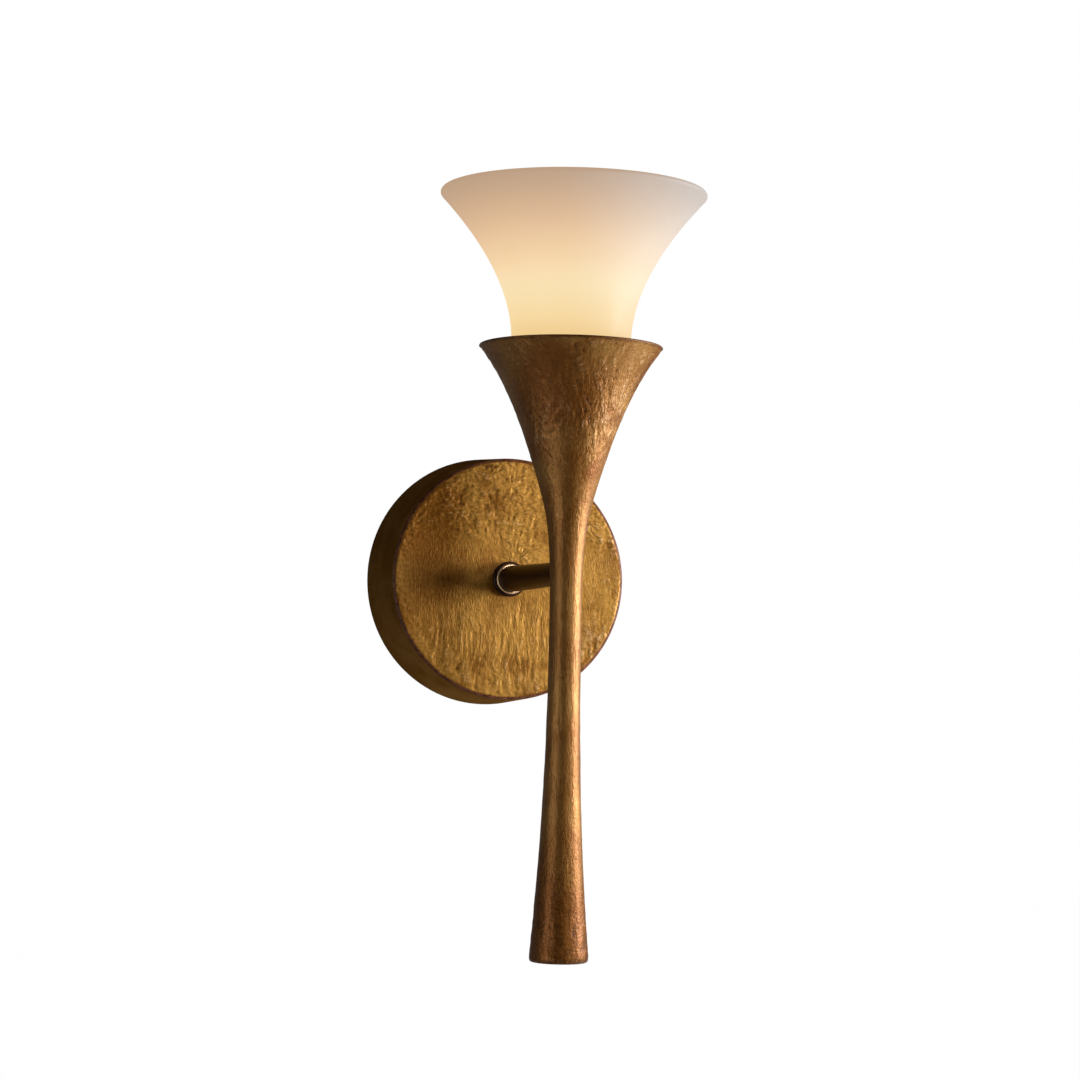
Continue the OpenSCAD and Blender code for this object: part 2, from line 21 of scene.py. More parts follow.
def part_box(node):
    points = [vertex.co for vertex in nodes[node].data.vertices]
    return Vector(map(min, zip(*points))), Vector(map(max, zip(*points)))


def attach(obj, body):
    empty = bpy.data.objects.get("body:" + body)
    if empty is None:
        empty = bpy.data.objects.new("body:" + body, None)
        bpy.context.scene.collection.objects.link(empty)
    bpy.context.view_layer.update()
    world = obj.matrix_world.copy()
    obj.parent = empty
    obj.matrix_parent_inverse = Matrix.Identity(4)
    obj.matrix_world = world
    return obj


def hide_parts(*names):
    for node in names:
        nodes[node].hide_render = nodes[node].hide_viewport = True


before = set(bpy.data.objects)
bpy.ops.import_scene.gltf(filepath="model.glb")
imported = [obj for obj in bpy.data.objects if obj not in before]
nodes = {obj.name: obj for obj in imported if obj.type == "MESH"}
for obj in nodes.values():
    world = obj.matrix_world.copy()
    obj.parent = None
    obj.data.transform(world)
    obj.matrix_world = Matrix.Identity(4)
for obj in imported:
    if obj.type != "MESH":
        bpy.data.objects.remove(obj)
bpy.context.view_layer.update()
MM = 0.001

# %% [markdown]
# ## The camera
#
# The camera is where the photograph was taken from: a little to the left of the light, a
# hand below its arm, and 1.3 m away. Its place was found by fitting the round outlines of
# the canopy, the glass, the cup and the foot, so its sizes are plain numbers here. The
# photograph isn't quite level, which is the small roll.

# %% Place the camera
TARGET = Vector((0, -0.060, 0))
CAMERA_DISTANCE = 1.3435
CAMERA_AZIMUTH, CAMERA_ELEVATION = math.radians(18.05), math.radians(-2.42)
LOOK_YAW, LOOK_PITCH, LOOK_ROLL = math.radians(18.42), math.radians(3.23), math.radians(1.21)


def pointing(yaw, pitch):
    """The unit vector that is turned right from +Y by yaw, and then up by pitch."""
    return Vector((math.sin(yaw) * math.cos(pitch), math.cos(yaw) * math.cos(pitch), math.sin(pitch)))


def camera_axes(yaw, pitch, roll):
    """The camera's own axes, side by side: right, up and backwards."""
    ahead = pointing(yaw, pitch)
    level = Vector((math.cos(yaw), -math.sin(yaw), 0))
    right = math.cos(roll) * level + math.sin(roll) * level.cross(ahead)
    return Matrix((right, right.cross(ahead), -ahead)).transposed()


camera = bpy.data.objects.new("camera", bpy.data.cameras.new("camera"))
camera.data.sensor_width = 36
camera.data.lens = 90
place = TARGET - CAMERA_DISTANCE * pointing(CAMERA_AZIMUTH, -CAMERA_ELEVATION)
camera.matrix_world = Matrix.Translation(place) @ camera_axes(LOOK_YAW, LOOK_PITCH, LOOK_ROLL).to_4x4()
bpy.context.scene.collection.objects.link(camera)
bpy.context.scene.camera = camera
bpy.context.scene.view_settings.view_transform = "Standard"
print("camera at", [round(x, 4) for x in place])

# %% [markdown]
# ## Small helpers for shader nodes
#
# A material is a tree of nodes. These helpers add a node, set its sockets by name and link
# whatever is given as a socket, so that each finish below reads as a short recipe. A group
# holds an effect that several finishes share, with its inputs and outputs made once.

# %% Helpers for nodes


def fill(tree, made, inputs):
    """Fills a node's inputs, found by name or place, with plain values or links to sockets."""
    for key, value in inputs.items():
        if isinstance(value, bpy.types.NodeSocket):
            tree.links.new(value, made.inputs[key])
        else:
            made.inputs[key].default_value = value
    return made


def add(tree, kind, inputs=None, **settings):
    """Adds a shader node with its settings, and fills its inputs."""
    made = tree.nodes.new("ShaderNode" + kind)
    for key, value in settings.items():
        setattr(made, key, value)
    return fill(tree, made, inputs or {})


def maths(tree, operation, *values, clamp=False):
    """The result of a Math node on one to three values or sockets."""
    return add(tree, "Math", dict(enumerate(values)), operation=operation, use_clamp=clamp).outputs[0]


def between(tree, value, low, high, to_low=0.0, to_high=1.0):
    """A value that runs smoothly from to_low to to_high as the socket goes from low to high."""
    inputs = {"Value": value, "From Min": low, "From Max": high, "To Min": to_low, "To Max": to_high}
    return add(tree, "MapRange", inputs, interpolation_type="SMOOTHSTEP").outputs["Result"]


def blend_colours(tree, factor, first, second):
    """The colour that goes from first to second as the factor goes from 0 to 1.

    Each colour is a socket, or red, green and blue. The Mix node also has inputs for numbers
    and vectors, under the same names, so its colour sockets are found by their places.
    """
    made = add(tree, "Mix", {"Factor": factor}, data_type="RGBA")
    for place, colour in ((6, first), (7, second)):
        is_socket = isinstance(colour, bpy.types.NodeSocket)
        fill(tree, made, {place: colour if is_socket else (*colour, 1)})
    return made.outputs[2]


print("helpers for nodes: fill, add, maths, between, blend_colours")

# %% Helpers for groups and materials


def new_group(name, inputs, outputs):
    """An empty node group. Inputs map a name to its starting value, and outputs to a socket's kind."""
    tree = bpy.data.node_groups.new(name, "ShaderNodeTree")
    kinds = {float: "NodeSocketFloat", tuple: "NodeSocketColor"}
    for label, value in inputs.items():
        socket = tree.interface.new_socket(name=label, in_out="INPUT", socket_type=kinds[type(value)])
        socket.default_value = value
    for label, kind in outputs.items():
        tree.interface.new_socket(name=label, in_out="OUTPUT", socket_type="NodeSocket" + kind)
    return tree, tree.nodes.new("NodeGroupInput").outputs, tree.nodes.new("NodeGroupOutput")


def place_group(tree, group, inputs):
    """Places a node group in a material, with its own values, and returns its outputs."""
    return add(tree, "Group", inputs, node_tree=group).outputs


def bumped(tree, height):
    """The normal that a height in metres gives the surface."""
    inputs = {"Strength": 1.0, "Distance": 1.0, "Height": height}
    return add(tree, "Bump", inputs).outputs["Normal"]


def new_material(name, **sockets):
    """A material with one Principled shader, whose constants are set on its own sockets.

    A socket's name is written with _ for a space.
    """
    made = bpy.data.materials.new(name)
    made.use_nodes = True
    shader = made.node_tree.nodes["Principled BSDF"]
    fill(made.node_tree, shader, {key.replace("_", " "): value for key, value in sockets.items()})
    return made, made.node_tree, shader


def connect(tree, shader, colour, gloss, normal):
    """Links a Principled shader's colour, roughness and normal."""
    fill(tree, shader, {"Base Color": colour, "Roughness": gloss, "Normal": normal})


print("helpers for groups and materials: new_group, place_group, bumped, new_material, connect")

# %% [markdown]
# ## Effects that several finishes share
#
# Fine grain is what keeps a plain surface from looking like a drawing: a slight unevenness
# of gloss and a shallow bump. Its size and stretch differ from a moulded plastic to a
# turned brass. Mottle is a slow wandering between two colours, as in any hand-applied or
# dipped finish. Both are worked out from the place on the object, in millimetres.

# %% Group: fine grain


def grain_group():
    """Noise as a grain, and the uneven gloss and the bump that it gives."""
    tree, given, result = new_group(
        "fine grain",
        {"Size mm": 1.0, "Stretch X": 1.0, "Stretch Y": 1.0, "Stretch Z": 1.0,
         "Rough low": 0.4, "Rough high": 0.6, "Depth mm": 0.02},
        {"Roughness": "Float", "Normal": "Vector", "Grain": "Float"},
    )
    at = add(tree, "TexCoord").outputs["Object"]
    stretch = add(tree, "CombineXYZ", {k: given["Stretch " + k] for k in "XYZ"}).outputs[0]
    stretched = add(tree, "VectorMath", {0: at, 1: stretch}, operation="DIVIDE").outputs[0]
    scale = maths(tree, "DIVIDE", 1 / MM, given["Size mm"])
    grain = add(tree, "TexNoise", {"Vector": stretched, "Scale": scale, "Detail": 3.0}).outputs["Fac"]
    rough = between(tree, grain, 0.3, 0.7)
    spread = maths(tree, "SUBTRACT", given["Rough high"], given["Rough low"])
    roughness = maths(tree, "MULTIPLY_ADD", rough, spread, given["Rough low"])
    height = maths(tree, "MULTIPLY", grain, maths(tree, "MULTIPLY", given["Depth mm"], MM))
    normal = bumped(tree, height)
    fill(tree, result, {"Roughness": roughness, "Normal": normal, "Grain": grain})
    return tree


def grained(tree, values):
    """The roughness and the normal of a fine grain with these values."""
    placed = place_group(tree, GRAIN, values)
    return placed["Roughness"], placed["Normal"]


GRAIN = grain_group()
print("made the group", GRAIN.name)

# %% Group: mottle


def mottle_group():
    """A colour that wanders between two others in soft clouds."""
    tree, given, result = new_group(
        "mottle",
        {"First": (1.0, 1.0, 1.0, 1.0), "Second": (0.5, 0.5, 0.5, 1.0),
         "Size mm": 10.0, "Low": 0.35, "High": 0.65},
        {"Color": "Color"},
    )
    at = add(tree, "TexCoord").outputs["Object"]
    scale = maths(tree, "DIVIDE", 1 / MM, given["Size mm"])
    inputs = {"Vector": at, "Scale": scale, "Detail": 4.0, "Roughness": 0.6}
    cloud = add(tree, "TexNoise", inputs).outputs["Fac"]
    mask = between(tree, cloud, given["Low"], given["High"])
    colour = blend_colours(tree, mask, given["First"], given["Second"])
    fill(tree, result, {"Color": colour})
    return tree


def mottled(tree, first, second, size, **more):
    """The colour of clouds that wander between two colours, with their size in mm."""
    values = {"First": (*first, 1), "Second": (*second, 1), "Size mm": size, **more}
    return place_group(tree, MOTTLE, values)["Color"]


MOTTLE = mottle_group()
print("groups:", [g.name for g in bpy.data.node_groups])

# %% [markdown]
# ## The antique bronze coat
#
# The maker trowels a thick coat on the casting and the canopy's face, mostly in upright
# strokes, and wipes a gold-bronze glaze over a dark ground. The ridges take the gold and
# the hollows keep the dark. It could all be a bump in the material, but then the outline
# would stay perfectly smooth, so the relief is in the meshes.
#
# Each mesh carries three numbers at each point, as attributes. One is coat, how much gold
# the point has kept. The next is tone, from brown to gold. The last is crinkle, how flaky
# the coat is there, where 0 is combed in long strokes. The material reads them to lay the
# colours, and adds only the marks that are too fine for the mesh.

# %% Material: antique bronze
# What each attribute is on bare metal, such as inside the cup
MARKS = {"coat": 0.1, "tone": 0.3, "crinkle": 0.0}
# Depth of the finest marks, in mm
FINE_DEPTH = 0.28


def bronze_coat(name, gloss, gold, bright, brown, glaze):
    """Gold over brown in slow clouds, bright on the ridges, and dark glaze in the hollows."""
    material, tree, shader = new_material(name, Metallic=0.4, Specular_IOR_Level=gloss)
    coat, tone, crinkle = (add(tree, "Attribute", attribute_name=label).outputs["Fac"] for label in MARKS)
    rough = {"Rough low": 0.36, "Rough high": 0.49}
    strokes = place_group(tree, GRAIN, {"Size mm": 0.7, "Stretch Z": 3.0, **rough})
    flakes = place_group(tree, GRAIN, {"Size mm": 1.3, "Stretch X": 1.6, **rough})
    # Fine strokes where the coat is combed, and small flakes where it is crinkled
    combed = maths(tree, "MULTIPLY", strokes["Grain"], maths(tree, "SUBTRACT", 1.0, crinkle))
    fine = maths(tree, "ADD", combed, maths(tree, "MULTIPLY", flakes["Grain"], crinkle))
    # Between brown and gold by the tone, which the fine marks break up into specks
    clouds = mottled(tree, brown, gold, 17.0, Low=0.25, High=0.55)
    speckled = maths(tree, "MULTIPLY_ADD", fine, 1.5, maths(tree, "SUBTRACT", tone, 0.75))
    body = blend_colours(tree, speckled, brown, clouds)
    # Glaze in the hollows and bright metal on the ridges, with the fine marks on top
    height = maths(tree, "ADD", coat, maths(tree, "MULTIPLY_ADD", fine, 0.9, -0.45))
    ground = blend_colours(tree, between(tree, height, -0.05, 0.40), glaze, body)
    colour = blend_colours(tree, between(tree, height, 0.66, 1.30), ground, bright)
    normal = bumped(tree, maths(tree, "MULTIPLY", fine, FINE_DEPTH * MM))
    connect(tree, shader, colour, strokes["Roughness"], normal)
    return material


# One coat in two copies: the casting's is darker as painted shade, and the canopy face's lighter gold as
# painted light
ANTIQUE = bronze_coat("antique_bronze", 0.16, (0.208, 0.101, 0.021), (0.40, 0.255, 0.135),
                      (0.118, 0.037, 0.001), (0.056, 0.017, 0.001))
CANOPY_FACE_LIT = bronze_coat("antique_bronze_face_lit", 0.12, (0.290, 0.142, 0.023), (0.45, 0.28, 0.125),
                          (0.120, 0.041, 0.001), (0.056, 0.018, 0.001))
print("bronze coats:", ANTIQUE.name, CANOPY_FACE_LIT.name)

# %% [markdown]
# ## The plain finishes
#
# The arm, its collar and the canopy's side wall are a smooth dark bronze. The hardware
# behind the canopy and in the cup is what an electrician sees: zinc-plated steel, turned
# brass, black moulded resin, coloured insulation. Each takes its colour from the mottle
# group and its gloss from the grain group, at the scale of that stuff.

# %% Material recipes


def finish(name, first, second, cloud_mm, grain_values, metallic=0.0, specular=0.5):
    """A finish that wanders between two colours, over a fine grain."""
    material, tree, shader = new_material(name, Metallic=metallic, Specular_IOR_Level=specular)
    connect(tree, shader, mottled(tree, first, second, cloud_mm), *grained(tree, grain_values))
    return material


def grain(size, low, high, depth, **stretch):
    """The grain group's values, with an even grain unless it is stretched."""
    values = {"Size mm": size, "Rough low": low, "Rough high": high, "Depth mm": depth}
    return {**values, **{"Stretch " + axis: value for axis, value in stretch.items()}}


DARK = finish("dark_bronze", (0.015, 0.0040, 0.0009), (0.023, 0.0064, 0.0013),
              14.0, grain(0.8, 0.30, 0.34, 0.003), specular=0.10)
# The canopy's rounded edge: a dark worn coat, with painted shade on the rounding
EDGE = finish("shaded_worn_edge", (0.055, 0.015, 0.005), (0.120, 0.042, 0.018),
              3.0, grain(0.7, 0.4, 0.55, 0.03), specular=0.1)
SIDE = finish("canopy_side", (0.140, 0.060, 0.011), (0.185, 0.088, 0.022),
              18.0, grain(1.2, 0.5, 0.65, 0.02), specular=0.0)
FERRULE = finish("bright_ferrule", (0.72, 0.50, 0.30), (0.60, 0.38, 0.20),
                 3.0, grain(0.4, 0.2, 0.3, 0.004), metallic=1.0)
BRASS = finish("turned_brass", (0.74, 0.52, 0.20), (0.66, 0.43, 0.15),
               6.0, grain(0.3, 0.24, 0.36, 0.006, Z=0.3), metallic=1.0)
ZINC = finish("zinc_plate", (0.60, 0.60, 0.57), (0.50, 0.50, 0.48),
              5.0, grain(0.35, 0.3, 0.45, 0.006, X=5.0), metallic=1.0)
RESIN = finish("black_resin", (0.016, 0.015, 0.015), (0.026, 0.025, 0.024),
               8.0, grain(0.5, 0.35, 0.5, 0.01))
SILICONE = finish("silicone", (0.72, 0.70, 0.65), (0.80, 0.78, 0.72),
                  7.0, grain(0.6, 0.35, 0.5, 0.006))
BLACK_WIRE = finish("black_insulation", (0.012, 0.012, 0.012), (0.02, 0.02, 0.02),
                    6.0, grain(0.7, 0.3, 0.4, 0.006))
WHITE_WIRE = finish("white_insulation", (0.78, 0.77, 0.72), (0.70, 0.69, 0.63),
                    6.0, grain(0.7, 0.3, 0.4, 0.006))
GREEN_WIRE = finish("green_insulation", (0.03, 0.24, 0.06), (0.04, 0.30, 0.08),
                    6.0, grain(0.7, 0.3, 0.4, 0.006))
ORANGE = finish("orange_plastic", (0.80, 0.20, 0.02), (0.70, 0.16, 0.015),
                9.0, grain(0.5, 0.38, 0.5, 0.012))
WHITE_NYLON = finish("white_nylon", (0.80, 0.79, 0.75), (0.74, 0.73, 0.68),
                     5.0, grain(0.4, 0.35, 0.45, 0.006))
GREEN_STEEL = finish("green_steel", (0.02, 0.20, 0.06), (0.03, 0.27, 0.09),
                     3.0, grain(0.4, 0.28, 0.4, 0.006), metallic=0.6)
SOLDER = finish("solder", (0.62, 0.62, 0.60), (0.50, 0.50, 0.49),
                1.2, grain(0.4, 0.25, 0.4, 0.02), metallic=1.0)
print("materials:", len(bpy.data.materials))

# %% [markdown]
# ## Lit opal glass
#
# Opal glass is white all through and satin outside. The bulb behind it makes it glow:
# nearly white and yellow level with the filament, peach higher up, and a dull warm grey at
# the rim, where little of the bulb's light arrives. Light could really be scattered through
# the glass, but that is slow and grainy. So the glow is an emission that falls off with the
# height from the bulb, measured on the object, and it stays put from any side. The room's
# own light comes on top through the body colour, which is kept low, because next to a lit
# bulb the room adds little. It rises towards the rim, where the room shows more.
#
# The bulb is frosted and glows in the same way, hottest in its middle.

# %% Group: glow round the bulb
# The glow's colours, from a reach below the filament (0) to a reach above it (1)
GLOW_COLOURS = [
    (0.0, (0.60, 0.36, 0.11)), (0.30, (0.93, 0.64, 0.28)), (0.50, (0.95, 0.78, 0.475)),
    (0.62, (0.94, 0.67, 0.38)), (0.80, (0.72, 0.455, 0.26)), (1.0, (0.42, 0.28, 0.18)),
]


def glow_group():
    """The glow's colour at each height, and a mask that rises from the filament to the rim."""
    tree, given, result = new_group("bulb glow", {"Height mm": 130.0, "Reach mm": 60.0},
                                    {"Color": "Color", "Away": "Float"})
    at = add(tree, "TexCoord").outputs["Object"]
    height = maths(tree, "MULTIPLY", add(tree, "SeparateXYZ", {0: at}).outputs["Z"], 1 / MM)
    above = maths(tree, "SUBTRACT", height, given["Height mm"])
    reached = maths(tree, "DIVIDE", above, given["Reach mm"])
    share = maths(tree, "MULTIPLY_ADD", reached, 0.5, 0.5, clamp=True)
    colours = add(tree, "ValToRGB", {"Fac": share})
    ramp = colours.color_ramp
    ramp.interpolation = "B_SPLINE"
    while len(ramp.elements) < len(GLOW_COLOURS):
        ramp.elements.new(0.5)
    for element, (position, colour) in zip(ramp.elements, GLOW_COLOURS):
        element.position = position
        element.color = (*colour, 1)
    away = between(tree, share, 0.35, 0.85)
    fill(tree, result, {"Color": colours.outputs["Color"], "Away": away})
    return tree


GLOW = glow_group()
print("made the group", GLOW.name)

# %% Materials: opal glass and bulb


def opal_glass():
    """White glass that is lit from inside, and shows the room only towards its rim."""
    material, tree, shader = new_material("opal_glass", Emission_Strength=1.0, Specular_IOR_Level=0.06)
    clouds = mottled(tree, (0.036, 0.075, 0.104), (0.042, 0.083, 0.114), 30.0)
    glow = place_group(tree, GLOW, {"Height mm": 132.0, "Reach mm": 52.0})
    body = blend_colours(tree, glow["Away"], (0.005, 0.015, 0.030), clouds)
    connect(tree, shader, body, *grained(tree, grain(6.0, 0.5, 0.6, 0.02)))
    fill(tree, shader, {"Emission Color": glow["Color"]})
    return material


def frosted_bulb():
    """A lit bulb, dark in itself, so that its glow alone gives it its colour."""
    material, tree, shader = new_material("frosted_bulb", Emission_Strength=1.0)
    clouds = mottled(tree, (0.08, 0.08, 0.07), (0.11, 0.11, 0.10), 9.0)
    connect(tree, shader, clouds, *grained(tree, grain(0.5, 0.45, 0.6, 0.01)))
    glow = place_group(tree, GLOW, {"Height mm": 122.0, "Reach mm": 64.0})
    fill(tree, shader, {"Emission Color": glow["Color"]})
    return material


OPAL = opal_glass()
BULB = frosted_bulb()
print("lit materials:", OPAL.name, BULB.name)

# %% [markdown]
# ## A lathe
#
# Nearly everything here is turned, so one function makes it all: it takes a closed outline
# of radius, height and relief, and turns it round an axis. A closed outline gives a closed
# solid, with the inside as well as the outside. Relief says how a point of the outline
# follows what is laid on the piece: fully on a coated face, not at all on a bare one, and
# the other way round on the back of a thin skin, so that both its faces move together.

# %% Outline helpers
# Points nearer than this, in mm, are one point
SAME_PLACE = 1e-6
# The reliefs of a run of points. The last is for the back of a thin skin
BARE, COATED, BACK = 0, 1, -1


def cubic(points, step):
    """Points of a cubic curve, drawn from the first point to the last, about step apart."""
    p = np.array(points, float)
    length = (np.linalg.norm(np.diff(p, axis=0), axis=1).sum() + np.linalg.norm(p[3] - p[0])) / 2
    t = np.linspace(0, 1, max(3, round(length / step)) + 1)[:, None]
    return (1 - t) ** 3 * p[0] + 3 * (1 - t) ** 2 * t * p[1] + 3 * (1 - t) * t ** 2 * p[2] + t ** 3 * p[3]


def arc(centre, radius, start, end, count):
    """Points of an arc, from one angle to another in degrees."""
    a = np.radians(np.linspace(start, end, count + 1))[:, None]
    return np.array(centre) + radius * np.hstack([np.cos(a), np.sin(a)])


def straight(start, end, step):
    """Points of a straight line, about step apart, with both its ends."""
    start, end = np.array(start, float), np.array(end, float)
    count = max(1, round(np.linalg.norm(end - start) / step))
    return start + (end - start) * np.linspace(0, 1, count + 1)[:, None]


def outline(*runs):
    """Joins runs of points, given as (points, relief) or (points, relief, slot).

    Points that repeat the one before are left out. The slot of the material is 0 if not given.
    """
    rows = []
    for points, relief, *slot in runs:
        for r, h in points:
            if not rows or math.dist(rows[-1][:2], (r, h)) > SAME_PLACE:
                rows.append((r, h, relief, *(slot or [0])))
    if math.dist(rows[0][:2], rows[-1][:2]) < SAME_PLACE:
        rows.pop()
    return np.array(rows, float)


print("a quarter round of 10 mm:", arc([0, 0], 10, 0, 90, count=2).round(1).tolist())

# %% [markdown]
# ## The trowel's marks
#
# A trowel leaves long ridges and scraped flats, the coat cracks where it is thick, and flakes
# and folds stay where it was dabbed on. They could be sculpted by hand, stroke by stroke.
# Here each kind of mark is a noise of its own instead, stretched along the trowel's way and
# bent by a slower noise, so that no two strokes are parallel. One recipe then serves the
# casting and the canopy, and gives the same coat each time it runs.

# %% Noise on many points


def field(points, scale, seed=0.0):
    """Smooth noise from -1 to 1 at each point, with one scale in mm for each axis."""
    at = points / np.array(scale) + seed
    return np.array([noise.noise(p) for p in at.tolist()])


def smoothstep(x, low, high):
    """Runs from 0 to 1 as x goes from low to high."""
    t = np.clip((x - low) / (high - low), 0, 1)
    return t * t * (3 - 2 * t)


def patch(points, centre, radius):
    """1 at the centre of a patch, and 0 outside its radius. Both are in mm."""
    return 1 - smoothstep(np.linalg.norm(points - np.array(centre), axis=1) / radius, 0.35, 1)


three_steps = np.array([[0.0, 0, 0], [1, 0, 0], [2, 0, 0]])
print("noise 3 mm across, at 0, 1 and 2 mm:", field(three_steps, (3, 3, 3)).round(2))

# %% The trowelled coat
# Leaning strokes cross this height of the flow at the same place, whatever their lean
LEAN_HEIGHT = 83


def trowelled(flow, strokes, bark, crinkle, slant, seed):
    """The coat at each point: its height in mm, and how much gold it shows, from 0 to 1.

    The third axis of flow runs along the trowel's way. The other arguments say how strong
    each kind of mark is at each point, and how far the strokes lean.
    """
    sway = np.stack([field(flow, (9, 9, 15), seed + k) for k in (1.3, 7.7, 13.1)], axis=1)
    moved = flow + sway * np.array([2.2, 2.2, 3.0])
    moved[:, 0] += slant * (flow[:, 2] - LEAN_HEIGHT)
    curled = flow + sway * 2.5
    waves = field(flow, (13, 13, 28), seed + 21)
    ridges = 0.55 - 2.2 * np.abs(field(moved, (3.6, 3.6, 17), seed + 33))
    combed = 0.45 - 1.8 * np.abs(field(moved, (1.9, 1.9, 10), seed + 45))
    combed += 0.6 * field(moved, (1.2, 1.2, 6), seed + 48)
    cracks = 1 - smoothstep(np.abs(field(moved, (2.0, 2.0, 8), seed + 57)), 0.02, 0.18)
    cracks = cracks * smoothstep(field(moved, (3.6, 3.6, 7), seed + 66), -0.1, 0.2)
    scales = smoothstep(field(curled, (6.0, 6.0, 4.2), seed + 75), -0.12, 0.14)
    flakes = smoothstep(field(curled + sway[:, ::-1], (3.2, 3.2, 2.4), seed + 79), -0.14, 0.18)
    folds = 0.5 - 2.0 * np.abs(field(curled, (3.8, 3.8, 2.2), seed + 82))
    crumbs = field(curled, (1.5, 1.5, 1.3), seed + 84)
    scraped = smoothstep(field(moved, (4.2, 4.2, 20), seed + 88), -0.1, 0.14)
    lift = 0.12 * waves + strokes * (0.11 * ridges + 0.08 * combed + 0.06 * scraped) - 0.17 * bark * cracks
    lift += crinkle * (0.13 * scales + 0.12 * flakes + 0.06 * folds + 0.05 * crumbs)
    gold = 0.52 + strokes * (0.12 * ridges + 0.12 * combed + 0.16 * scraped) - 0.32 * bark * cracks
    gold += crinkle * (0.14 * scales + 0.14 * flakes - 0.14 + 0.12 * folds + 0.16 * crumbs)
    return lift, np.clip(gold, 0, 1)


sample = np.array([[30.0, 9, 70], [30, 9, 73]])
sample_lift, sample_gold = trowelled(sample, 1, 0.5, 0.3, 0, 3.0)
print("the coat at two points:", sample_lift.round(2), "mm, gold", sample_gold.round(2))

# %% The lathe


def turned(name, rows, segments, to_frame, slots, coat=None):
    """Turns a closed outline in mm into a mesh, and lays the coat on it.

    to_frame takes x, y and height to the frame. coat takes the points, and gives the lift
    in mm at each of them, and then the marks that the bronze material reads, if any.
    """
    radius, height, relief, slot = rows.T
    along = np.roll(rows[:, :2], -1, axis=0) - np.roll(rows[:, :2], 1, axis=0)
    along /= np.linalg.norm(along, axis=1)[:, None]
    turn = np.linspace(0, 2 * math.pi, segments, endpoint=False)
    spokes = np.stack([np.cos(turn), np.sin(turn)], axis=1)

    def spread(r, h):
        """An outline's radii and heights at every spoke, as x, y and height."""
        flat = r[:, None, None] * spokes[None]
        return np.concatenate([flat, np.broadcast_to(h[:, None, None], (*flat.shape[:2], 1))], axis=2)

    points = spread(radius, height).reshape(-1, 3)
    found = []
    if coat:
        share = np.repeat(relief, segments)
        covered = share != 0
        lift = np.zeros(len(points))
        lift[covered], *found = coat(points[covered])
        normals = spread(along[:, 1], -along[:, 0]).reshape(-1, 3)
        points = points + normals * (lift * share)[:, None]
    row, spoke = np.meshgrid(np.arange(len(rows)), np.arange(segments), indexing="ij")
    next_row, next_spoke = (row + 1) % len(rows), (spoke + 1) % segments
    corners = [(row, spoke), (row, next_spoke), (next_row, next_spoke), (next_row, spoke)]
    faces = np.stack([i * segments + k for i, k in corners], axis=2)
    mesh = bpy.data.meshes.new(name)
    mesh.from_pydata([to_frame(*p) for p in (points * MM).tolist()], [], faces.reshape(-1, 4).tolist())
    mesh.polygons.foreach_set("material_index", np.repeat(slot.astype(np.int32), segments))
    mesh.polygons.foreach_set("use_smooth", np.ones(len(mesh.polygons), bool))
    for (label, bare), on_coat in zip(MARKS.items(), found):
        values = np.full(len(points), bare, np.float32)
        values[covered] = on_coat
        mesh.attributes.new(label, "FLOAT", "POINT").data.foreach_set("value", values)
    for material in slots:
        mesh.materials.append(material)
    mesh.update()
    made = bpy.data.objects.new(name, mesh)
    bpy.context.scene.collection.objects.link(made)
    print(name, len(mesh.polygons), "faces")
    return made


def stand_for(piece, node, body):
    """The piece shows instead of a node, on that node's body."""
    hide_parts(node)
    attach(piece, body)
    return piece


print("a turned piece can carry the marks", list(MARKS))

# %% [markdown]
# ## The casting
#
# The torch is one hollow casting: a foot, a long waisted shaft and a throat that opens
# into a trumpet-shaped cup. Its outline is three cubic curves that meet without a kink,
# which is how a designer would draw it. The outside carries the coat. The coat thins out
# round the arm's end, because the arm was fitted before it was laid.

# %% Measure the casting
torch_low, torch_high = (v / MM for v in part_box("torch_body"))
plug_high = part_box("foot_plug")[1] / MM
REACH = -(torch_low.y + torch_high.y) / 2
FOOT, RIM = torch_low.z, torch_high.z
CUP_R = torch_high.x
FOOT_R = 13.9
WAIST_R, WAIST_LOW, WAIST_HIGH = 7.6, -35, -20
THROAT_R, THROAT_Z = 16.6, 50
CUP_WALL, CUP_FLOOR = 2.4, 51
BORE_R = 4.6
TAP_R, TAP_DEEP = 5.15, 12
PLUG_FIT, OVER_PLUG = 0.05, 2
print("casting from", round(FOOT, 1), "to", round(RIM, 1), "mm, axis", round(REACH, 1), "mm from the wall")


def on_torch(x, y, z):
    """From the torch's own axis to the frame, in metres."""
    return x, y - REACH * MM, z


# %% The casting's outline


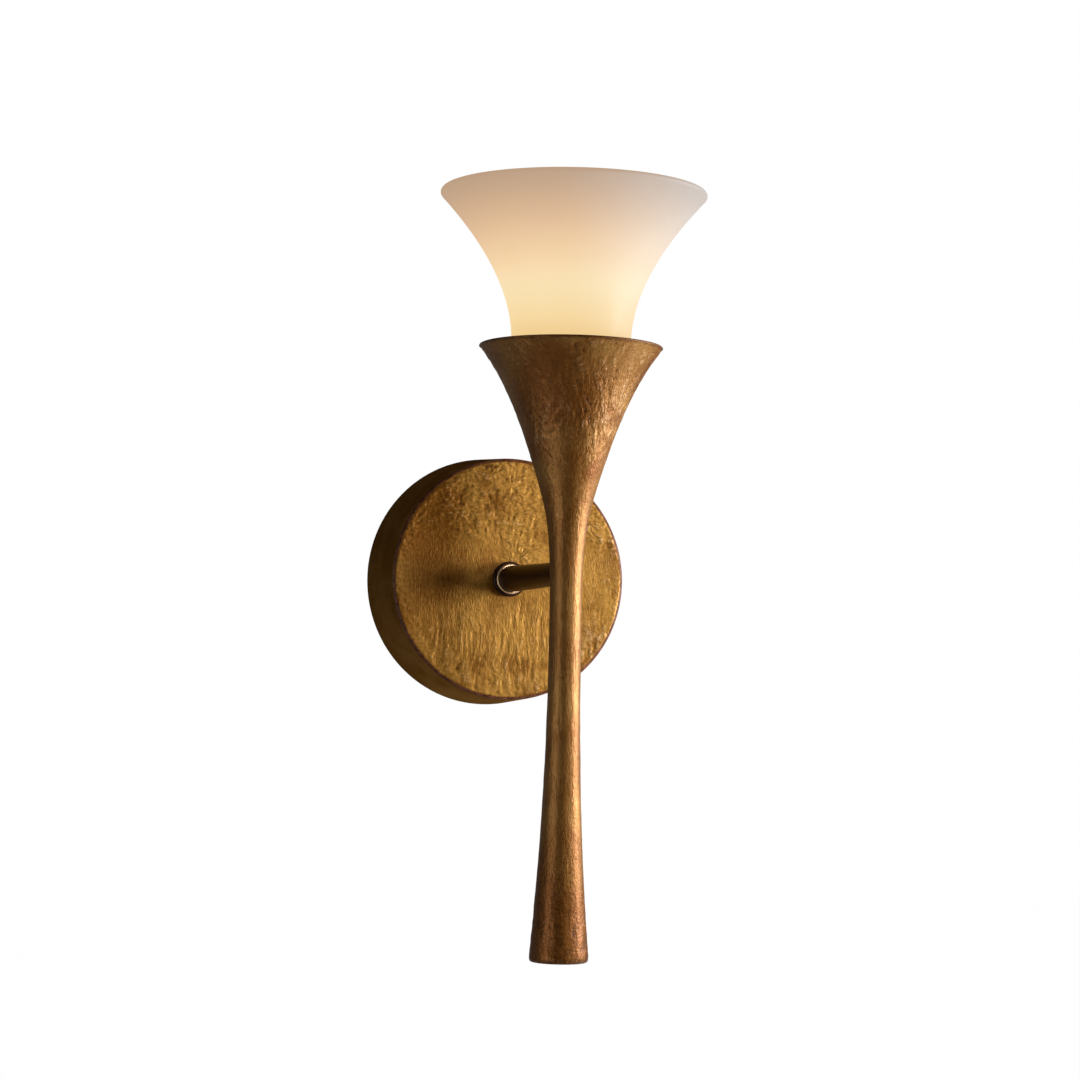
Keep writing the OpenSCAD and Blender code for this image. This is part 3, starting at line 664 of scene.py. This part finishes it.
def casting_outline():
    """The casting's closed outline: from the foot up to the rim, and down again inside.

    Each curve runs from its first point to its last, and the two between them pull it. They
    lie in line with those of the next curve, so no kink shows.
    """
    foot_round, rim_round, floor_round = 1.4, 0.7, 2
    shaft = cubic([[FOOT_R, FOOT + foot_round], [WAIST_R + 2.8, FOOT + 43],
                   [WAIST_R, WAIST_LOW - 60], [WAIST_R, WAIST_LOW]], step=2.2)
    throat = cubic([[WAIST_R, WAIST_HIGH], [WAIST_R, THROAT_Z - 30],
                    [THROAT_R - 7.1, THROAT_Z - 22], [THROAT_R, THROAT_Z]], step=1.5)
    cup = cubic([[THROAT_R, THROAT_Z], [THROAT_R + 5.8, THROAT_Z + 18],
                 [CUP_R - 14.4, RIM - 18], [CUP_R, RIM]], step=0.8)
    # Inside, every fifth point is enough, because no coat has to lie there
    cup_inside = [p - (CUP_WALL, 0) for p in cup[::-5] if CUP_FLOOR + 3 < p[1] < RIM - 1]
    # The rim's two rounds are set a little inwards, because the cup leans outwards there
    outer_rim = arc([CUP_R - rim_round - 0.1, RIM - rim_round], rim_round, 0, 90, count=4)
    inner_rim = arc([CUP_R - CUP_WALL + rim_round - 0.3, RIM - rim_round], rim_round, 90, 180, count=4)
    floor_centre = [cup_inside[-1][0] - floor_round, CUP_FLOOR + floor_round]
    tap_end = CUP_FLOOR - TAP_DEEP
    recess_end, plug_r = plug_high.z + OVER_PLUG, plug_high.x + PLUG_FIT
    bores = [(TAP_R, CUP_FLOOR), (TAP_R, tap_end), (BORE_R, tap_end),
             (BORE_R, recess_end), (plug_r, recess_end), (plug_r, FOOT)]
    return outline(
        (arc([FOOT_R - foot_round, FOOT + foot_round], foot_round, -90, 0, count=4), BARE),
        (shaft, COATED),
        (straight(shaft[-1], throat[0], step=2.2), COATED),
        (throat, COATED),
        (cup[cup[:, 1] < RIM - rim_round - 0.5], COATED),
        (outer_rim, BARE),
        (inner_rim, BARE),
        (cup_inside, BARE),
        (arc(floor_centre, floor_round, 0, -90, count=3), BARE),
        (bores, BARE),
    )


casting_rows = casting_outline()
print("casting outline:", len(casting_rows), "points")

# %% Lay the coat on the casting
# The side of the torch that the camera sees, in degrees round from +X
CAMERA_SIDE = -108
CASTING_SEGMENTS = 408


def on_side(angle, radius, height):
    """A place on the casting, with the angle counted to the right of the camera's side."""
    a = math.radians(angle + CAMERA_SIDE)
    return radius * math.cos(a), radius * math.sin(a), height


def casting_coat(points):
    """The coat's lift in mm, and its marks, at points on the casting.

    The noise is read on a tube that is wider than the shaft and narrower than the cup, so
    that the marks keep an even size, and they get shorter towards the rim.
    """
    r = np.hypot(points[:, 0], points[:, 1])
    z = points[:, 2]
    even = 10 + 24 * smoothstep(z, 0, 90)
    cup = smoothstep(z, 40, 65)
    foot = 1 - smoothstep(z, FOOT + 15, FOOT + 40)
    low = 1 - smoothstep(z, FOOT + 20, FOOT + 75)
    shorter = z + 0.35 * cup * (z - 40)
    flow = np.stack([points[:, 0] / r * even, points[:, 1] / r * even, shorter], axis=1)
    loose = field(flow, (16, 16, 22), 5.0)
    bold = patch(points, on_side(45, 30, 84), 42)
    low_left = patch(points, on_side(-28, 21, 72), 20)
    # Painted shade: less gold and a browner tone on the cup's front, a little left of its middle
    painted_shade_front = patch(points, on_side(-12, 28, 84), 32)
    strokes = 0.45 + 0.5 * cup + 0.25 * foot + 0.6 * bold + 0.6 * low_left
    bark = np.clip(cup * (0.35 + 1.0 * bold + 0.4 * smoothstep(loose, 0.0, 0.3)), 0, 1)
    bark = np.maximum(bark, 0.45 * foot * smoothstep(loose, -0.1, 0.2))
    crinkle = 0.32 - 0.19 * bold + cup * 0.5 * smoothstep(z + 14 * loose, RIM - 18, RIM - 3)
    crinkle += foot * (0.35 + 0.35 * smoothstep(loose, 0, 0.3))
    slant = 0.10 - 0.7 * low_left + 0.15 * bold
    lift, gold = trowelled(flow, strokes, bark, crinkle, slant, 3.0)
    # Painted shade: less gold and a browner tone at the cup's right edge, beyond its lit side
    painted_shade_right_edge = patch(points, on_side(88, 47, 90), 27)
    gold = np.clip(gold - 0.14 * painted_shade_front - 0.26 * low - 0.30 * painted_shade_right_edge, 0, 1)
    tone = 0.62 + 0.5 * loose - 0.65 * painted_shade_front - 0.6 * painted_shade_right_edge - 0.65 * low
    # The coat thins out round the arm's end, and stops below the rim, whose darker colour is painted shade
    # on the rounded lip
    away_from_arm = smoothstep(np.linalg.norm(points - (0, WAIST_R, 0), axis=1), 7.5, 15)
    rim = smoothstep(z, RIM - 2.2, RIM - 1.0)
    lift = lift * away_from_arm * (1 - rim)
    gold = gold * (1 - 0.8 * rim)
    return lift, gold, np.clip(tone, 0, 1), np.clip(crinkle, 0, 1)


casting = turned("torch_casting", casting_rows, CASTING_SEGMENTS, on_torch, [ANTIQUE], casting_coat)
stand_for(casting, "torch_body", "fixture")

# %% [markdown]
# ## The canopy
#
# The canopy is a spun steel cup, 127 mm across at the wall and a little narrower in front.
# Only its face is coated. The side wall is smooth and dark, and the rounded edge between
# them shows a thin dark line where the coat stops, darkened further as painted shade on
# the rounding. It is hollow, because the joints of the wires have to fit in it.

# %% Measure the canopy
plate_low, plate_high = (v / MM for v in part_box("backplate"))
PLATE_R, PLATE_DEPTH = plate_high.x, -plate_low.y
FACE_R, PLATE_WALL, PLATE_EDGE, INNER_EDGE = 61.0, 1.8, 2.0, 1.1
ARM_HOLE_R = 5.25
# The canopy's material slots: the coated face, the plain wall and the edge, where the coat is worn and
# shade is painted
FACE_SLOT, WALL_SLOT, EDGE_SLOT = 0, 1, 2
print("canopy radius", round(PLATE_R, 1), "depth", round(PLATE_DEPTH, 1), "mm")

# %% The canopy's outline


def on_canopy(x, y, depth):
    """From the arm's axis to the frame, with depth out of the wall."""
    return x, -depth, y


def canopy_outline():
    """The canopy's closed outline: the side wall, the edge and the face, and back inside."""
    slope = (PLATE_R - FACE_R) / PLATE_DEPTH
    side_r = FACE_R + slope * PLATE_EDGE
    front = PLATE_DEPTH
    edge = arc([side_r - PLATE_EDGE, front - PLATE_EDGE], PLATE_EDGE, 0, 90, count=8)
    inner_centre = [side_r - PLATE_WALL - INNER_EDGE, front - PLATE_WALL - INNER_EDGE]
    inner_edge = arc(inner_centre, INNER_EDGE, 90, 0, count=5)
    return outline(
        (straight([PLATE_R, 0], edge[0], step=4), BARE, WALL_SLOT),
        (edge[:3], BARE, WALL_SLOT),
        (edge[2:7], BARE, EDGE_SLOT),
        (edge[6:-1], BARE, FACE_SLOT),
        (straight(edge[-1], [ARM_HOLE_R, front], step=0.52), COATED, FACE_SLOT),
        (straight([ARM_HOLE_R, front - PLATE_WALL], inner_edge[0], step=6), BARE, WALL_SLOT),
        (inner_edge, BARE, WALL_SLOT),
        (straight(inner_edge[-1], [PLATE_R - PLATE_WALL, 0], step=6), BARE, WALL_SLOT),
    )


canopy_rows = canopy_outline()
print("canopy outline:", len(canopy_rows), "points")

# %% Lay the coat on the canopy's face
# The canopy's coat is this many times as thick as the casting's
FACE_RELIEF = 1.15
CANOPY_SEGMENTS = 640


def canopy_coat(points):
    """The coat's lift in mm, and its marks, at points on the canopy's face."""
    flat = points[:, :2]
    x, y = points[:, 0], points[:, 1]
    r = np.hypot(x, y)
    flow = np.stack([x, np.zeros(len(x)), y], axis=1)
    loose = field(flow, (18, 18, 18), 8.0)
    top = smoothstep(y + 16 * loose, 6, 30)
    low = smoothstep(-y + 12 * loose, 2, 30)
    rim = smoothstep(r + 8 * loose, 40, 58)
    # A patch left of the middle where the coat is smoother, and browner as painted shadow of the torch
    smooth_painted_shadow = patch(flat, (-34, 4), 30)
    by_collar = patch(flat, (2, 9), 13)
    strokes = (0.4 + 0.6 * low) * (1 - 0.6 * smooth_painted_shadow)
    bark = (0.25 * low + 0.5 * rim + 0.3 * top + 0.3 * by_collar) * (1 - smooth_painted_shadow)
    crinkle = np.clip(0.18 + 0.95 * top + 0.4 * rim + 0.6 * by_collar, 0, 1.2) * (1 - 0.8 * smooth_painted_shadow)
    lift, gold = trowelled(flow, strokes, bark, crinkle, 0.0, 11.0)
    # The face stays flat round the collar and at its edge, where the gold is chipped away
    inside = smoothstep(r, 8.6, 10) * (1 - smoothstep(r, FACE_R - 2.6, FACE_R - 1.4))
    chipped = r + 0.8 * field(flow, (1.6, 1.6, 1.6), 31.0)
    gold = gold * (1 - smoothstep(chipped, FACE_R - 1.9, FACE_R - 1.2))
    # Painted light: more gold towards the right of the face, on the side where the light falls
    gold = np.clip(gold + 0.14 * smoothstep(x, 22, 52), 0, 1)
    # Painted shadow of the torch: a browner tone on the left of the face and at its top left
    painted_shadow_top_left = patch(flat, (-44, 30), 32)
    left = smoothstep(-x + 8 * loose, 14, 36)
    tone = 0.85 + 0.3 * loose - 0.38 * painted_shadow_top_left - 0.2 * smooth_painted_shadow - 0.40 * left
    return FACE_RELIEF * lift * inside, gold, np.clip(tone, 0, 1), np.clip(crinkle, 0, 1)


canopy_slots = [CANOPY_FACE_LIT, SIDE, EDGE]
canopy = turned("canopy", canopy_rows, CANOPY_SEGMENTS, on_canopy, canopy_slots, canopy_coat)
stand_for(canopy, "backplate", "fixture")

# %% [markdown]
# ## The glass flare
#
# The flare was blown into a mould: a straight neck that stands on the seat, and a trumpet
# that opens in one sweep to a fire-polished, fully round lip. Turned finely, it stays
# smooth where the light grazes it.

# %% Turn the glass
glass_low, glass_high = (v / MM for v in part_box("glass_shade"))
SHADE_R, SHADE_TOP, NECK_FOOT = -glass_low.x, glass_high.z, glass_low.z
NECK_R, GLASS = 28.5, 3.0
FLARE_LEAN, FLARE_PULL = 43, 35.5
FLARE_START, NECK_PULL = 2, 20
GLASS_SEGMENTS = 192


def glass_outline():
    """The glass's closed outline: the neck and the flare outside, the lip, and back inside."""
    lip = GLASS / 2
    foot = GLASS / 3
    lean = math.radians(FLARE_LEAN)
    way = np.array([math.sin(lean), math.cos(lean)])
    across = np.array([math.cos(lean), -math.sin(lean)])
    lip_centre = np.array([SHADE_R - lip, SHADE_TOP - lip])

    def flare(side):
        """The flare's curve from the neck to the lip. The side is 1 outside and -1 inside."""
        r = NECK_R - lip + side * lip
        up = RIM + FLARE_START + (1 - side) * GLASS / 6
        end = lip_centre + side * lip * across
        return cubic([[r, up], [r, up + NECK_PULL], end - FLARE_PULL * way, end], step=1.4)

    outside, inside = flare(1), flare(-1)
    return outline(
        (arc([NECK_R - GLASS + foot, NECK_FOOT + foot], foot, 180, 270, count=4), BARE),
        (arc([NECK_R - foot, NECK_FOOT + foot], foot, 270, 360, count=4), BARE),
        (straight([NECK_R, NECK_FOOT + foot], outside[0], step=4), BARE),
        (outside, BARE),
        (arc(lip_centre, lip, -FLARE_LEAN, 180 - FLARE_LEAN, count=12), BARE),
        (inside[::-1], BARE),
        (straight(inside[0], [NECK_R - GLASS, NECK_FOOT + foot], step=4), BARE),
    )


flare = turned("glass_flare", glass_outline(), GLASS_SEGMENTS, on_torch, [OPAL])
stand_for(flare, "glass_shade", "shade")

# %% [markdown]
# ## The bulb's screw cap
#
# The cap of a candle bulb is thin brass with a thread rolled into it: both its faces rise and
# fall together. The frame has plain rings there, because a ring is enough to test how it
# fits. A real thread climbs 2.54 mm in each turn, as the bulb does when it is unscrewed, so
# the ridge is laid as a wave whose phase turns with the angle.

# %% Roll the bulb's thread
cap_low, cap_high = (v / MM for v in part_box("bulb_cap"))
THREAD_PITCH, THREAD_DEPTH, CAP_SKIN = 2.54, 0.3, 0.4
RUN_IN, RUN_OUT, PLAIN_TOP = 1.2, 1.5, 0.3
CAP_R = cap_high.x - THREAD_DEPTH / 2
CAP_SEGMENTS = 96


def rolled_thread(points):
    """The lift in mm of a right-hand ridge round the cap, which runs out at both its ends."""
    x, y, z = points.T
    turn = 2 * math.pi * z / THREAD_PITCH - np.arctan2(y, x)
    below_top = 1 - smoothstep(z, cap_high.z - RUN_OUT, cap_high.z - PLAIN_TOP)
    run_out = smoothstep(z, cap_low.z, cap_low.z + RUN_IN) * below_top
    return (THREAD_DEPTH / 2 * np.cos(turn) * run_out,)


skin = straight([CAP_R, cap_low.z], [CAP_R, cap_high.z], step=0.16)
lip = [[CAP_R - CAP_SKIN - THREAD_DEPTH / 2, cap_low.z]]
cap_rows = outline((skin, COATED), (skin[::-1] - (CAP_SKIN, 0), BACK), (lip, BARE))
bulb_cap = turned("bulb_thread", cap_rows, CAP_SEGMENTS, on_torch, [BRASS], rolled_thread)
stand_for(bulb_cap, "bulb_cap", "bulb")

# %% [markdown]
# ## Finishes on the pieces that keep their shape
#
# The rest of the hardware is right as it is in the frame, so it only gets its material.

# %% Dress the remaining pieces
FINISHES = {
    DARK: ["arm", "arm_collar", "side_screws"],
    FERRULE: ["arm_ferrule"],
    ANTIQUE: ["foot_plug"],
    BRASS: ["arm_nipple", "arm_locknut", "torch_nipple", "socket_nipple", "socket_locknut",
            "socket_screw_shell", "socket_contact", "ground_terminal"],
    ZINC: ["stiffener_plate", "wall_bar", "arm_lock_washer", "socket_washer", "shade_seat"],
    RESIN: ["socket_body", "socket_ring", "bulb_insulator"],
    SILICONE: ["seat_gasket"],
    BLACK_WIRE: ["hot_lead"],
    WHITE_WIRE: ["neutral_lead"],
    GREEN_WIRE: ["ground_wire"],
    ORANGE: ["wire_nuts"],
    WHITE_NYLON: ["wire_bushing"],
    GREEN_STEEL: ["ground_screw"],
    SOLDER: ["bulb_contact"],
    BULB: ["bulb_glass"],
}
for material, names in FINISHES.items():
    for name in names:
        nodes[name].data.materials.clear()
        nodes[name].data.materials.append(material)
print("dressed:", sum(len(names) for names in FINISHES.values()))

# %% [markdown]
# ## The studio
#
# Two lamps do most of the work. The key stands in front, a little to the right, and throws
# the torch's shadow on the canopy. The side lamp is stronger and grazes the canopy, which is
# what shows the coat's relief, and it lights the right half of the torch. A low one reaches
# under the flare of the cup, and a weak fill keeps the left from going black.
#
# Bronze is judged by what it mirrors, so two tall windows give the torch its pale right edge
# and a second, softer stripe left of its middle. They show only in reflections, and light
# nothing.
#
# The floor and the background are white to the camera, and dimmer in reflections, because a
# dark bronze that mirrors a pure white room turns grey. They add hardly any light to the
# object. That is left to the lamps.

# %% Lamps


def softbox(name, azimuth, elevation, distance, size, watts):
    """A soft rectangular lamp that points at the object, with its distance and size in metres.

    Azimuth 0 is straight in front, and the angle grows to the right.
    """
    a, e = math.radians(azimuth), math.radians(elevation)
    way = Vector((math.sin(a) * math.cos(e), -math.cos(a) * math.cos(e), math.sin(e)))
    lamp = bpy.data.objects.new(name, bpy.data.lights.new(name, "AREA"))
    lamp.data.shape = "RECTANGLE"
    lamp.data.size, lamp.data.size_y = size
    lamp.data.energy = watts
    lamp.location = TARGET + way * distance
    lamp.rotation_euler = way.to_track_quat("Z", "Y").to_euler()
    bpy.context.scene.collection.objects.link(lamp)
    print("lamp", name, watts, "W")
    return lamp


softbox("key", azimuth=20, elevation=10, distance=1.5, size=(0.30, 0.30), watts=4.6)
softbox("side", azimuth=70, elevation=2, distance=0.8, size=(0.30, 0.30), watts=17)
softbox("low", azimuth=88, elevation=-42, distance=0.9, size=(0.40, 0.40), watts=2.5)
softbox("fill", azimuth=-75, elevation=4, distance=1.3, size=(0.60, 0.60), watts=1.0)
for window in (
    softbox("window_right", azimuth=104, elevation=10, distance=1.0, size=(0.20, 0.60), watts=2.2),
    softbox("window_left", azimuth=-65, elevation=-20, distance=1.3, size=(0.20, 1.1), watts=11.0),
):
    window.visible_diffuse = False

# %% World and floor
# How bright the white room is in a reflection, where the camera sees it as 1
IN_GLOSS = 0.15
FLOOR_SIZE, FLOOR_DROP = 12, 0.45


def backdrop(tree, plain, share, white_strength=1.0):
    """Mixes a share of white into a plain shader for the camera and glass, and less in gloss."""
    rays = add(tree, "LightPath").outputs
    mirrored = maths(tree, "MULTIPLY", rays["Is Glossy Ray"], IN_GLOSS)
    seen = maths(tree, "MAXIMUM", rays["Is Camera Ray"], mirrored)
    seen = maths(tree, "MAXIMUM", seen, rays["Is Transmission Ray"])
    kind = "Background" if plain.node.bl_idname == "ShaderNodeBackground" else "Emission"
    white = add(tree, kind, {"Color": (1, 1, 1, 1), "Strength": white_strength}).outputs[0]
    white_share = maths(tree, "MULTIPLY", seen, share)
    return add(tree, "MixShader", {0: white_share, 1: plain, 2: white}).outputs[0]


world = bpy.data.worlds.new("white room")
bpy.context.scene.world = world
world.use_nodes = True
tree = world.node_tree
tree.nodes.clear()
room = add(tree, "Background", {"Color": (1.0, 0.98, 0.95, 1), "Strength": 0.07}).outputs[0]
add(tree, "OutputWorld", {"Surface": backdrop(tree, room, share=1.0)})

bpy.ops.mesh.primitive_plane_add(size=FLOOR_SIZE, location=(0, 0, FOOT * MM - FLOOR_DROP))
floor = bpy.context.object
floor.name = "floor"
pale, tree, shader = new_material("pale_floor", Base_Color=(0.75, 0.75, 0.74, 1), Roughness=0.8)
surface = backdrop(tree, shader.outputs[0], share=0.9, white_strength=1.1)
fill(tree, tree.nodes["Material Output"], {"Surface": surface})
floor.data.materials.append(pale)
print("floor at", round(floor.location.z, 3), "m")
